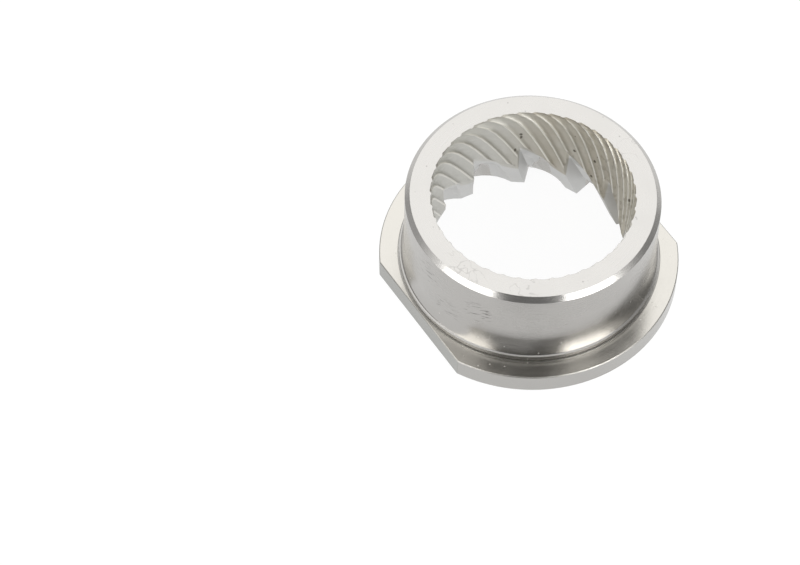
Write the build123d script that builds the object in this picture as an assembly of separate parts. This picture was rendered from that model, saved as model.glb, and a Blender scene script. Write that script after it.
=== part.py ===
# Ring burr of a conical coffee grinder: a turned steel ring that stands on its flange.
# Millimetres and degrees. The axis is Z, and the origin is the middle of the flange's under face.
# The two flats of the flange face +X and -X. The fine teeth let the ground coffee out at the top.
import os
from math import cos, exp, radians, sin, sqrt, tan

from build123d import *

# Ring
BORE_DIA = 37.3
BORE_TAPER = 7.6
WALL = 4.85
BURR_HEIGHT = 23.4
TOP_CHAMFER = 0.9

# Flange
FLANGE_WIDTH = 4.5
FLANGE_THICK = 5.0
FLAT_CLEAR = 1.25
UNDER_CHAMFER = 1.0
EDGE_BREAK = 0.15

# Foot of the barrel, where it flares out to a small bead above a turned groove
FOOT_RADIUS = 18.0
FOOT_REACH = 0.5
BEAD_WIDTH = 0.3
BEAD_HEIGHT = 1.4
BEAD_DROP = 0.09
GROOVE_WIDTH = 0.25
GROOVE_DEPTH = 0.15

# Fine teeth: thin ribs on a helix that curls over to the outlet at the top
FINE_COUNT = 40
FINE_START = 3.5
FINE_DEPTH = 0.3
FINE_DEEPEN = 0.3
FINE_LAND = 1.0
FINE_LEE = 0.9
FINE_DROP = 1.6
FINE_SHED = 0.5
HELIX_RATE = 1.88
HELIX_CURL = 8.0
CURL_RUN = 1.5
FINE_LEVELS = 8

# Coarse teeth: hooked teeth below the waist of the bore, with scooped pockets between them
COARSE_COUNT = 12
COARSE_START = -2.4
WAIST_HEIGHT = 9.84
FEED_FLARE = 2.97
TIP_SWEEP = 6.6
ROOT_COVER = 0.25
ROOT_LAG = 2.3
VALLEY_HEIGHT = 3.65
VALLEY_LEAN = 2.04
VALLEY_LAG = 1.3
SCOOP_RISE = 0.65
SCOOP_LAG = 10.3
ARCH_RISE = 1.15
ARCH_SINK = 0.45
HEEL_RISE = 0.35
HEEL_LAG = 22.7
LAND_RISE = 1.66
LAND_LAG = 12.2
POCKET_RISE = 5.46
SCOOP_STEPS = 6

bore = BORE_DIA / 2
taper = tan(radians(BORE_TAPER))
barrel = bore + WALL
flange = barrel + FLANGE_WIDTH
flat = barrel + FLAT_CLEAR
rim = barrel + FOOT_REACH + BEAD_WIDTH
root = flat - UNDER_CHAMFER - ROOT_COVER
arch_z = VALLEY_HEIGHT + ARCH_RISE
land_z = WAIST_HEIGHT + LAND_RISE
apex_z = WAIST_HEIGHT + POCKET_RISE
vault_z = (land_z + apex_z) / 2


def polar(radius, angle, z):
    return Vector(radius * cos(radians(angle)), radius * sin(radians(angle)), z)


# Radius of the tapered bore over the fine ribs at height z
def cone(z):
    return bore - taper * (BURR_HEIGHT - z)


waist = cone(WAIST_HEIGHT)
tip = waist + FEED_FLARE


# A solid between closed rings of edges, with a ruled face from each edge to the one above it
def skin(rings):
    faces = []
    for low, high in zip(rings, rings[1:]):
        for under, over in zip(low, high):
            faces.append(Face.make_surface_from_curves(under, over))
    for ring in (rings[0], rings[-1]):
        faces.append(Face(Wire(ring)))
    return Solid(Shell(faces))


# A solid between closed rings of points, with two flat facets in each cell
def facet(rings):
    faces = []
    for low, high in zip(rings, rings[1:]):
        for spot in range(len(low)):
            faces.append(Face(Wire.make_polygon([low[spot - 1], low[spot], high[spot - 1]])))
            faces.append(Face(Wire.make_polygon([low[spot], high[spot], high[spot - 1]])))
    for ring in (rings[0], rings[-1]):
        faces.append(Face(Wire.make_polygon(ring)))
    return Solid(Shell(faces))


# Flange plate with its two flats, chamfered below and lightly broken above
def make_flange():
    outline = Circle(flange) & Rectangle(2 * flat, 3 * flange)
    plate = extrude(outline, FLANGE_THICK)
    plate = chamfer(plate.faces().sort_by(Axis.Z)[0].edges(), UNDER_CHAMFER)
    return chamfer(plate.faces().sort_by(Axis.Z)[-1].edges(), EDGE_BREAK)


# Turned barrel with the chamfered top edge and the flared foot
def make_barrel():
    bead = barrel + FOOT_REACH
    bead_z = FLANGE_THICK + BEAD_HEIGHT
    flare = sqrt(FOOT_RADIUS**2 - (FOOT_RADIUS - FOOT_REACH) ** 2)
    half = flare / 2
    bulge = FOOT_RADIUS - sqrt(FOOT_RADIUS**2 - (flare - half) ** 2)
    profile = Polyline(
        (barrel, bead_z + flare),
        (barrel, BURR_HEIGHT - TOP_CHAMFER),
        (barrel - TOP_CHAMFER, BURR_HEIGHT),
        (0, BURR_HEIGHT),
        (0, UNDER_CHAMFER),
        (rim, UNDER_CHAMFER),
        (rim, bead_z - BEAD_DROP),
        (bead, bead_z),
    )
    foot = ThreePointArc((bead, bead_z), (barrel + bulge, bead_z + half), (barrel, bead_z + flare))
    section = Plane.XZ * make_face([*profile.edges(), foot])
    return revolve(section, Axis.Z)


# Narrow groove round the foot of the bead
def make_groove():
    ring = Circle(rim + GROOVE_WIDTH) - Circle(rim)
    return extrude(Pos(0, 0, FLANGE_THICK - GROOVE_DEPTH) * ring, GROOVE_DEPTH)


# How far the fine helix has turned by the time it is down at height z
def helix(z):
    down = max(BURR_HEIGHT - z, 0)
    return HELIX_RATE * down + HELIX_CURL * (1 - exp(-down / CURL_RUN))


# Depth of the fine flutes at height z
def flute(z):
    return FINE_DEPTH + FINE_DEEPEN * (BURR_HEIGHT - z) / BURR_HEIGHT


# One level of the fine teeth: the groove of each tooth, its narrow land and the lee behind it
def fine_ring(z):
    pitch = 360 / FINE_COUNT
    depth = flute(z)
    points = []
    for tooth in range(FINE_COUNT):
        crest = FINE_START - helix(z) + tooth * pitch
        points.append(polar(cone(z) + depth, crest - FINE_LAND - FINE_DROP, z))
        points.append(polar(cone(z), crest - FINE_LAND, z))
        points.append(polar(cone(z), crest, z))
        points.append(polar(cone(z) + FINE_SHED * depth, crest + FINE_LEE, z))
    return [Edge.make_line(a, b) for a, b in zip(points, points[1:] + points[:1])]


# The flutes run down past the waist, to where the feed mouth is wider than they are deep
def make_fine_void():
    runout = 1.2 * flute(0) / (FEED_FLARE / WAIST_HEIGHT + taper)
    run = BURR_HEIGHT - WAIST_HEIGHT + runout
    levels = [BURR_HEIGHT - run * (level / FINE_LEVELS) ** 1.9 for level in range(FINE_LEVELS + 1)]
    return skin([fine_ring(z) for z in (BURR_HEIGHT + 0.6, *levels)])


# Radius and angle at height z on a guide line of (height, radius, angle) points
def along(line, z):
    for (z0, radius0, angle0), (z1, radius1, angle1) in zip(line, line[1:]):
        if z <= z1:
            break
    share = max(z - z0, 0) / (z1 - z0)
    return radius0 + share * (radius1 - radius0), angle0 + share * (angle1 - angle0)


# Pockets between the coarse teeth, along the guide lines of each tooth: its crest,
# the valley under the hook, the scoop's middle and the heel of the next tooth
def make_coarse_void():
    pitch = 360 / COARSE_COUNT
    crest = [
        (0, tip, 0),
        (WAIST_HEIGHT, waist, TIP_SWEEP),
        (land_z, cone(land_z) - 0.45, TIP_SWEEP + 0.5),
        (apex_z, cone(apex_z) - 0.45, TIP_SWEEP + 0.5),
    ]
    valley = [
        (0, root, -ROOT_LAG),
        (VALLEY_HEIGHT, root - VALLEY_LEAN, -VALLEY_LAG),
        (apex_z, cone(apex_z) - 0.05, TIP_SWEEP - 0.6),
    ]
    middle = [
        (0, root - SCOOP_RISE, -SCOOP_LAG),
        (arch_z, root - SCOOP_RISE - ARCH_SINK, -SCOOP_LAG + 1.3),
        (land_z, (root + 2 * cone(land_z)) / 3 - 1.1, -LAND_LAG / 3),
        (apex_z, cone(apex_z) - 0.1, TIP_SWEEP - 1.4),
    ]
    heel = [
        (0, tip + HEEL_RISE, -HEEL_LAG),
        (land_z, cone(land_z), -LAND_LAG),
        (apex_z, cone(apex_z) - 0.3, TIP_SWEEP - 2.3),
    ]
    rings = []
    for z in (-1, 0, VALLEY_HEIGHT, arch_z, WAIST_HEIGHT, land_z, vault_z, apex_z):
        ring = []
        for tooth in range(COARSE_COUNT):
            spots = []
            for line in (crest, valley, middle, heel):
                radius, angle = along(line, z)
                spots.append(polar(radius, COARSE_START + angle - tooth * pitch, z))
            scoop = Edge.make_three_point_arc(*spots[1:])
            ring.append(spots[0])
            ring.extend(scoop @ (step / SCOOP_STEPS) for step in range(SCOOP_STEPS + 1))
        rings.append(ring)
    return facet(rings)


blank = make_flange() + make_barrel() - make_groove()
ring_burr = blank - make_fine_void() - make_coarse_void()

os.makedirs("parts", exist_ok=True)
export_step(ring_burr, "parts/ring_burr.step")
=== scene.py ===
from math import cos, pi, radians, sin

import bmesh
import bpy
from mathutils import Euler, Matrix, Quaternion, Vector


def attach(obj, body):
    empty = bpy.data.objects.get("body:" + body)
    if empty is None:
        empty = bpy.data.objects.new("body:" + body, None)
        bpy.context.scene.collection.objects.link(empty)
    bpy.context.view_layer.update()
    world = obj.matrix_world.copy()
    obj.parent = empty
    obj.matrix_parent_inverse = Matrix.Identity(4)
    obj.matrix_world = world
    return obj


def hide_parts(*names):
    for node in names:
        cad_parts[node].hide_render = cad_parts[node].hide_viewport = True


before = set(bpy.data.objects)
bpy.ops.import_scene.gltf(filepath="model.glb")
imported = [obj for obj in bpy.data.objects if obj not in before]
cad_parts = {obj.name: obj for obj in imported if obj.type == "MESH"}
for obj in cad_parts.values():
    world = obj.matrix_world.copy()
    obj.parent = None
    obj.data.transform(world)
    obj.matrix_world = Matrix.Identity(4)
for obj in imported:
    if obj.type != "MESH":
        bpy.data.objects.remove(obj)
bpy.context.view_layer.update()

# Ring burr: one turned and hardened steel ring, in one piece with its flange and its teeth.
# The top is ground, the barrel and flange are turned, and the teeth are milled and dull from use.
# Its mesh is a merged copy of the solid's, smooth on round faces and in the hollow of each flute.
merge_gap = 1e-7
sharp_turn = radians(28)
bore_lean = 0.1334
flute_floor = 0.0164

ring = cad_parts["ring_burr"]
bm = bmesh.new()
bm.from_mesh(ring.data)
bmesh.ops.remove_doubles(bm, verts=bm.verts, dist=merge_gap)
bm.normal_update()
for face in bm.faces:
    face.smooth = True
for side in bm.edges:
    turn = side.calc_face_angle_signed()
    middle = (side.verts[0].co + side.verts[1].co) / 2
    in_flute = middle.xy.length - bore_lean * middle.z < flute_floor
    side.smooth = abs(turn) < sharp_turn or (turn < 0 and in_flute)
mesh = bpy.data.meshes.new("burr")
bm.to_mesh(mesh)
bm.free()
mesh.attributes.remove(mesh.attributes["custom_normal"])
burr = bpy.data.objects.new("burr", mesh)
bpy.context.scene.collection.objects.link(burr)
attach(burr, "root")
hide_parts("ring_burr")

steel = bpy.data.materials.new("burr_steel")
steel.use_nodes = True
nodes = steel.node_tree.nodes
links = steel.node_tree.links
shader = nodes["Principled BSDF"]
shader.inputs["Metallic"].default_value = 1.0
mesh.materials.append(steel)


def feed(socket, value):
    if isinstance(value, bpy.types.NodeSocket):
        links.new(value, socket)
    else:
        socket.default_value = value


def calc(operation, first, second=0.0):
    node = nodes.new("ShaderNodeMath")
    node.operation = operation
    feed(node.inputs[0], first)
    feed(node.inputs[1], second)
    return node.outputs[0]


def plus(first, second):
    return calc("ADD", first, second)


def both(first, second):
    return calc("MULTIPLY", first, second)


def either(first, second):
    return calc("MAXIMUM", first, second)


def outside(mask):
    return calc("SUBTRACT", 1.0, mask)


# A soft step from low to high, as the value goes from start to end
def ramp(value, start, end, low=0.0, high=1.0):
    node = nodes.new("ShaderNodeMapRange")
    node.interpolation_type = "SMOOTHSTEP"
    feed(node.inputs["Value"], value)
    node.inputs["From Min"].default_value = start
    node.inputs["From Max"].default_value = end
    node.inputs["To Min"].default_value = low
    node.inputs["To Max"].default_value = high
    return node.outputs[0]


def above(value, level, soft):
    return ramp(value, level - soft, level + soft)


def below(value, level, soft):
    return ramp(value, level + soft, level - soft)


def grain(vector, scale, detail=2.0, warp=0.0):
    node = nodes.new("ShaderNodeTexNoise")
    links.new(vector, node.inputs["Vector"])
    node.inputs["Scale"].default_value = scale
    node.inputs["Detail"].default_value = detail
    node.inputs["Distortion"].default_value = warp
    return node.outputs["Fac"]


def blend(share, first, second):
    node = nodes.new("ShaderNodeMix")
    node.data_type = "RGBA"
    feed(node.inputs["Factor"], share)
    feed(node.inputs["A"], first)
    feed(node.inputs["B"], second)
    return node.outputs["Result"]


# Where each finish lies, from the distance to the axis and the height
ring_height = 0.0234
barrel_radius = 0.0235
barrel_foot = 0.00645
barrel_skin = 0.0231
chamfer_foot = 0.0225
chamfer_end = 0.0226
flange_over = 0.00515
flange_skin = 0.00495
groove_radius = 0.0242
flat_reach = 0.0247
bore_edge = 0.0223
fine_floor = 0.01645
fine_crest = 0.015585
hair = 0.00002

place = nodes.new("ShaderNodeTexCoord").outputs["Object"]
split = nodes.new("ShaderNodeSeparateXYZ")
links.new(place, split.inputs[0])
x, y, z = split.outputs
reach = calc("SQRT", plus(both(x, x), both(y, y)))
arc = both(calc("ARCTAN2", y, x), barrel_radius)
depth = calc("SUBTRACT", reach, both(z, bore_lean))
top = above(z, ring_height - hair, hair / 2)
bore = both(below(reach, bore_edge, 5 * hair), outside(top))
fine = both(bore, below(depth, fine_floor, 10 * hair))
crest = both(bore, below(depth, fine_crest, 1.75 * hair))
slope = both(above(z, chamfer_foot, hair), above(reach, chamfer_end, 2.5 * hair))
wall = both(below(z, chamfer_foot, hair), above(reach, barrel_skin, 5 * hair))
wall = both(above(z, barrel_foot, 7.5 * hair), wall)
flats = above(calc("ABSOLUTE", x), flat_reach, hair)
plate = both(below(z, flange_over, 2.5 * hair), above(reach, groove_radius, 5 * hair))
ledge = both(plate, above(z, flange_skin, hair))

# Turned lines run round the axis, over a fine speckle and broad clouds
lines_per_metre = 9000.0
line_breaks = 150.0
speckle_scale = 5200.0
cloud_scale = 180.0

round_axis = nodes.new("ShaderNodeCombineXYZ")
links.new(both(reach, lines_per_metre), round_axis.inputs[0])
links.new(both(z, lines_per_metre), round_axis.inputs[1])
links.new(both(arc, line_breaks), round_axis.inputs[2])
lines = grain(round_axis.outputs[0], 1.0, 3.0)
speckle = grain(place, speckle_scale, 2.0)
cloud = grain(place, cloud_scale, 4.0)

# Colours of each cut of the steel
turned_steel = (0.50, 0.488, 0.468, 1)
barrel_steel = (0.446, 0.435, 0.418, 1)
rim_steel = (0.445, 0.437, 0.42, 1)
ledge_steel = (0.64, 0.62, 0.575, 1)
ground_steel = (0.62, 0.606, 0.582, 1)
flat_steel = (0.365, 0.365, 0.348, 1)
pocket_steel = (0.67, 0.67, 0.66, 1)
pocket_shade_steel = (0.46, 0.45, 0.42, 1)
tooth_steel = (0.60, 0.595, 0.56, 1)
tooth_oil = (0.45, 0.42, 0.353, 1)
tooth_far_pale = (0.56, 0.53, 0.455, 1)
crest_sheen_steel = (0.74, 0.725, 0.67, 1)

# Coffee oil has dulled the fine teeth on one side. Their crests are brightened, partly by real rubbing
# and partly as a painted highlight along each crest
oil_x = 0.828
oil_y = -0.561
oily = plus(both(x, oil_x), both(y, oil_y))
across = plus(both(x, -oil_y), both(y, oil_x))
oil = both(ramp(oily, -0.011, 0.008), ramp(cloud, 0.25, 0.6, 0.6, 1.0))
outlet = both(both(fine, ramp(z, 0.0195, 0.0222)), ramp(oily, 0.010, 0.006))
# Painted highlight on the crests, which also stands for their rubbing
worn_crest_sheen = both(both(crest, ramp(z, 0.0233, 0.0222)), ramp(cloud, 0.3, 0.55, 0.35, 1.0))
dull = blend(oil, tooth_steel, tooth_oil)
# The teeth turn paler again at the far end of the oily side
dull = blend(ramp(oily, 0.0155, 0.018), dull, tooth_far_pale)
dull = blend(worn_crest_sheen, dull, crest_sheen_steel)
# Painted shade darkens the pocket faces towards the oily side
smooth = blend(ramp(oily, 0.011, 0.017), pocket_steel, pocket_shade_steel)

colour = blend(wall, turned_steel, barrel_steel)
colour = blend(plate, colour, rim_steel)
colour = blend(ledge, colour, ledge_steel)
colour = blend(top, colour, ground_steel)
colour = blend(flats, colour, flat_steel)
colour = blend(bore, colour, blend(fine, smooth, dull))


# One at the spot, fading out over the given size
def near(spot, size, core):
    node = nodes.new("ShaderNodeVectorMath")
    node.operation = "DISTANCE"
    links.new(place, node.inputs[0])
    node.inputs[1].default_value = spot
    return ramp(node.outputs["Value"], size, core)


# Scattered dots, one in each cell that is drawn above the chance
def scatter(scale, size, core, chance):
    node = nodes.new("ShaderNodeTexVoronoi")
    links.new(place, node.inputs["Vector"])
    node.inputs["Scale"].default_value = scale
    draw = nodes.new("ShaderNodeSeparateColor")
    links.new(node.outputs["Color"], draw.inputs[0])
    return both(ramp(node.outputs["Distance"], size, core), calc("GREATER_THAN", draw.outputs[0], chance))


# Dark specks stick in the flutes
speck_brown = (0.07, 0.06, 0.045, 1)
speck_size = 0.00042
speck_core = 0.0002
specks = 0.0
for spot in (
    (0.00856, 0.01615, 0.01755),
    (0.00849, 0.0160, 0.01683),
    (0.01569, 0.00866, 0.01566),
    (0.01694, 0.00446, 0.01156),
    (0.00726, 0.01597, 0.01368),
    (0.0175, 0.00452, 0.01576),
    (0.01651, -0.00766, 0.01819),
):
    specks = either(near(spot, speck_size, speck_core), specks)
dots = scatter(620.0, 0.14, 0.06, 0.86)
specks = either(specks, both(dots, both(fine, ramp(oily, 0.0, 0.012))))
colour = blend(both(specks, 0.75), colour, speck_brown)

# Brown stains lie on the oily side, and painted shade darkens the flute mouths of the far half
soil_and_shade_brown = (0.24, 0.21, 0.16, 1)
stain_scale = 900.0
stain = both(both(fine, ramp(oily, 0.006, 0.014)), ramp(grain(place, stain_scale, 3.0), 0.52, 0.66))
mouth = both(bore, ramp(z, 0.0228, 0.0232))
far_mouth_shade = both(both(mouth, ramp(across, -0.008, 0.0)), ramp(cloud, 0.3, 0.6, 0.4, 1.0))
colour = blend(either(both(stain, 0.4), both(far_mouth_shade, 0.45)), colour, soil_and_shade_brown)

# A painted highlight makes the flute mouths of the near half pale, and they are matt
mouth_highlight_steel = (0.95, 0.94, 0.92, 1)
near_mouth_highlight = both(both(bore, ramp(z, 0.0226, 0.0230)), ramp(across, -0.004, -0.010))
colour = blend(near_mouth_highlight, colour, mouth_highlight_steel)

# Pale dust lies on the ledge of the flange and the foot of the barrel
dust_white = (0.92, 0.90, 0.84, 1)
dust = scatter(1000.0, 0.2, 0.1, 0.84)
dust = both(dust, either(both(wall, ramp(z, 0.0125, 0.0105)), ledge))
colour = blend(both(dust, 0.4), colour, dust_white)

# Hairlines in three places on the ground top, and pin marks all over it
mark_grey = (0.26, 0.25, 0.24, 1)
vein_scale = 260.0
handled = 0.0
for spot, size in (
    ((-0.0190, -0.0070, ring_height), 0.0060),
    ((-0.0130, -0.0160, ring_height), 0.0040),
    ((0.0213, -0.0012, ring_height), 0.0036),
):
    handled = either(near(spot, size, 0.4 * size), handled)
veins = calc("ABSOLUTE", calc("SUBTRACT", grain(place, vein_scale, 2.0, 0.3), 0.5))
hairs = both(ramp(veins, 0.012, 0.004), handled)
marks = both(top, either(both(hairs, 0.28), both(dots, 0.5)))
colour = blend(marks, colour, mark_grey)

# Handled edges are rounded, and painted shade dims their glints in broken patches and in a thin band on
# the flange
edge_shade_grey = (0.22, 0.21, 0.185, 1)
edge_radius = 0.00008
crest_radius = 0.00014
lip_foot = 0.004855
lip_top = 0.0049875

edge = nodes.new("ShaderNodeBevel")
edge.samples = 8
links.new(plus(edge_radius, both(fine, crest_radius)), edge.inputs["Radius"])
facing = nodes.new("ShaderNodeVectorMath")
facing.operation = "DOT_PRODUCT"
links.new(edge.outputs["Normal"], facing.inputs[0])
links.new(nodes.new("ShaderNodeNewGeometry").outputs["Normal"], facing.inputs[1])
edge_shade_patches = both(ramp(facing.outputs["Value"], 0.995, 0.95), ramp(speckle, 0.4, 0.6, 0.3, 1.0))
lip = both(both(plate, above(z, lip_foot, 0.75 * hair)), below(z, lip_top, 0.375 * hair))
lip = both(lip, ramp(speckle, 0.4, 0.6, 0.6, 1.0))
edges = either(lip, both(edge_shade_patches, outside(bore)))
colour = blend(both(edges, 0.6), colour, edge_shade_grey)

# Short slanting scratches in three places on the barrel
scratch_grey = (0.10, 0.097, 0.09, 1)
scratches_along = 380.0
scratches_up = 4800.0
scratch_slant = -0.3

scuff = nodes.new("ShaderNodeCombineXYZ")
links.new(both(arc, scratches_along), scuff.inputs[0])
links.new(both(plus(z, both(arc, scratch_slant)), scratches_up), scuff.inputs[1])
area = 0.0
for spot, size in (
    ((-0.0234, -0.0011, 0.0181), 0.0036),
    ((-0.0226, -0.0061, 0.0121), 0.0036),
    ((-0.0201, -0.0120, 0.0161), 0.0038),
):
    area = either(near(spot, size, 0.5 * size), area)
scratches = both(area, ramp(grain(scuff.outputs[0], 1.0, 1.0), 0.63, 0.67))
colour = blend(both(scratches, 0.85), colour, scratch_grey)
links.new(colour, shader.inputs["Base Color"])

# Relief: faint turned lines outside, a rough grain in the bore, on the chamfer and on the flats
relief = both(outside(bore), both(lines, 0.12))
rough_cut = plus(plus(both(bore, 0.5), both(slope, 2.0)), both(flats, 1.5))
relief = plus(relief, both(speckle, plus(0.3, rough_cut)))
relief = calc("SUBTRACT", relief, both(either(scratches, marks), 2.0))
bump = nodes.new("ShaderNodeBump")
bump.inputs["Strength"].default_value = 0.35
bump.inputs["Distance"].default_value = 0.00001
links.new(relief, bump.inputs["Height"])
links.new(edge.outputs["Normal"], bump.inputs["Normal"])
links.new(bump.outputs["Normal"], shader.inputs["Normal"])

# Gloss, as roughness: the foot of the barrel is the smoothest, the teeth and the edges with painted shade
# are dull
gloss = 0.22
for finish, change in (
    (top, 0.07),
    (bore, 0.28),
    (fine, -0.05),
    (outlet, 0.2),
    (worn_crest_sheen, -0.1),
    (edges, 0.25),
    (specks, 0.25),
    (either(dust, near_mouth_highlight), 0.3),
):
    gloss = plus(gloss, both(finish, change))
gloss = plus(gloss, both(wall, ramp(z, 0.0098, 0.0125, -0.03, 0.03)))
gloss = plus(gloss, ramp(cloud, 0.3, 0.7, -0.03, 0.03))
gloss = plus(gloss, ramp(lines, 0.35, 0.65, -0.02, 0.02))
links.new(gloss, shader.inputs["Roughness"])

# Table: a plain sheet of white paper, a hair below the ring, which keeps its soft shadow.
# The camera and the bright steel both see it as white.
table_size = 3
table_gap = 0.00005
bm = bmesh.new()
bmesh.ops.create_grid(bm, x_segments=1, y_segments=1, size=table_size)
bmesh.ops.translate(bm, verts=bm.verts, vec=(0, 0, -table_gap))
mesh = bpy.data.meshes.new("table")
bm.to_mesh(mesh)
bm.free()
table = bpy.data.objects.new("table", mesh)
bpy.context.scene.collection.objects.link(table)

paper = bpy.data.materials.new("table_paper")
paper.use_nodes = True
nodes = paper.node_tree.nodes
links = paper.node_tree.links
sheet = nodes["Principled BSDF"]
sheet.inputs["Roughness"].default_value = 0.9
sheet.inputs["Specular IOR Level"].default_value = 0.0
sheet.inputs["Emission Color"].default_value = (1, 1, 1, 1)
path = nodes.new("ShaderNodeLightPath")
shade = nodes.new("ShaderNodeMix")
shade.data_type = "RGBA"
shade.inputs["A"].default_value = (0.25, 0.25, 0.25, 1)
shade.inputs["B"].default_value = (0.1, 0.1, 0.1, 1)
links.new(path.outputs["Is Camera Ray"], shade.inputs["Factor"])
links.new(shade.outputs["Result"], sheet.inputs["Base Color"])
strength = 0.0
for ray, share in (("Is Camera Ray", 0.93), ("Is Glossy Ray", 0.75), ("Is Transmission Ray", 0.75)):
    seen = nodes.new("ShaderNodeMath")
    seen.operation = "MULTIPLY_ADD"
    links.new(path.outputs[ray], seen.inputs[0])
    seen.inputs[1].default_value = share
    feed(seen.inputs[2], strength)
    strength = seen.outputs[0]
links.new(strength, sheet.inputs["Emission Strength"])
mesh.materials.append(paper)

# Studio: a pale room, with a soft box over the back of the table and one on each side of the camera.
# Angles are turned from the camera's side of the table. Grey screens stand between the boxes, and only
# the steel's reflections show them. A small one close to the flange paints a dark reflection in the
# barrel's foot.
front = radians(-34.1)


def studio_place(turn, rise, distance):
    side = front + radians(turn)
    level = cos(radians(rise)) * distance
    return Vector((level * sin(side), -level * cos(side), sin(radians(rise)) * distance))


for name, turn, rise, distance, width, height, bright in (
    ("back_box", 180, 56, 0.8, 0.9, 0.8, 0.35),
    ("left_box", -45, 22, 0.75, 0.56, 0.62, 2.5),
    ("right_box", 43, 22, 0.75, 0.5, 0.62, 3.8),
):
    lamp = bpy.data.lights.new(name, "AREA")
    lamp.shape = "RECTANGLE"
    lamp.size = width
    lamp.size_y = height
    lamp.energy = bright * width * height * pi
    box = bpy.data.objects.new(name, lamp)
    bpy.context.scene.collection.objects.link(box)
    box.location = studio_place(turn, rise, distance)
    box.rotation_mode = "QUATERNION"
    box.rotation_quaternion = box.location.to_track_quat("Z", "Y")
    box.visible_camera = False

for name, turn, rise, distance, width, height, grey in (
    ("front_screen", 0, 35, 0.20, 0.16, 0.34, 0.15),
    ("near_screen", 0, 6, 0.043, 0.032, 0.011, 0.08),
    ("left_screen", -115, 10, 0.95, 1.5, 0.36, 0.5),
    ("right_screen", 110, 10, 0.95, 1.6, 0.40, 0.36),
    ("high_screen", 105, 50, 0.95, 0.6, 0.55, 0.25),
):
    stand = studio_place(turn, rise, distance)
    bm = bmesh.new()
    bmesh.ops.create_grid(bm, x_segments=1, y_segments=1, size=0.5)
    bmesh.ops.scale(bm, verts=bm.verts, vec=(width, height, 1))
    bmesh.ops.rotate(bm, verts=bm.verts, matrix=stand.to_track_quat("Z", "Y").to_matrix())
    bmesh.ops.translate(bm, verts=bm.verts, vec=stand)
    mesh = bpy.data.meshes.new(name)
    bm.to_mesh(mesh)
    bm.free()
    screen = bpy.data.objects.new(name, mesh)
    bpy.context.scene.collection.objects.link(screen)
    screen.visible_camera = False
    screen.visible_diffuse = False
    screen.visible_shadow = False
    felt = bpy.data.materials.new(name)
    felt.use_nodes = True
    nodes = felt.node_tree.nodes
    glow = nodes.new("ShaderNodeEmission")
    glow.inputs["Color"].default_value = (grey, grey, grey, 1)
    felt.node_tree.links.new(glow.outputs[0], nodes["Material Output"].inputs["Surface"])
    mesh.materials.append(felt)

world = bpy.data.worlds.new("room")
world.use_nodes = True
nodes = world.node_tree.nodes
links = world.node_tree.links
nodes["Background"].inputs["Color"].default_value = (1, 1, 1, 1)
path = nodes.new("ShaderNodeLightPath")
straight = either(path.outputs["Is Camera Ray"], path.outputs["Is Transmission Ray"])
seen = either(straight, path.outputs["Is Glossy Ray"])
level = nodes.new("ShaderNodeMapRange")
level.inputs["To Min"].default_value = 0.7
level.inputs["To Max"].default_value = 1.0
links.new(seen, level.inputs["Value"])
links.new(level.outputs[0], nodes["Background"].inputs["Strength"])
bpy.context.scene.world = world
bpy.context.scene.view_settings.view_transform = "Standard"

# Camera: a long lens that looks down on the ring from high in front.
# It is rolled a little about its own axis, as the photograph is.
view_drop = 0.96941
view_roll = 0.0223
lens = bpy.data.cameras.new("camera")
lens.sensor_width = 36
lens.lens = 153
camera = bpy.data.objects.new("camera", lens)
bpy.context.scene.collection.objects.link(camera)
camera.location = (-0.22447, -0.28877, 0.52594)
camera.rotation_mode = "QUATERNION"
aim = Euler((pi / 2 - view_drop, 0, front)).to_quaternion()
camera.rotation_quaternion = aim @ Quaternion((0, 0, 1), view_roll)
bpy.context.scene.camera = camera
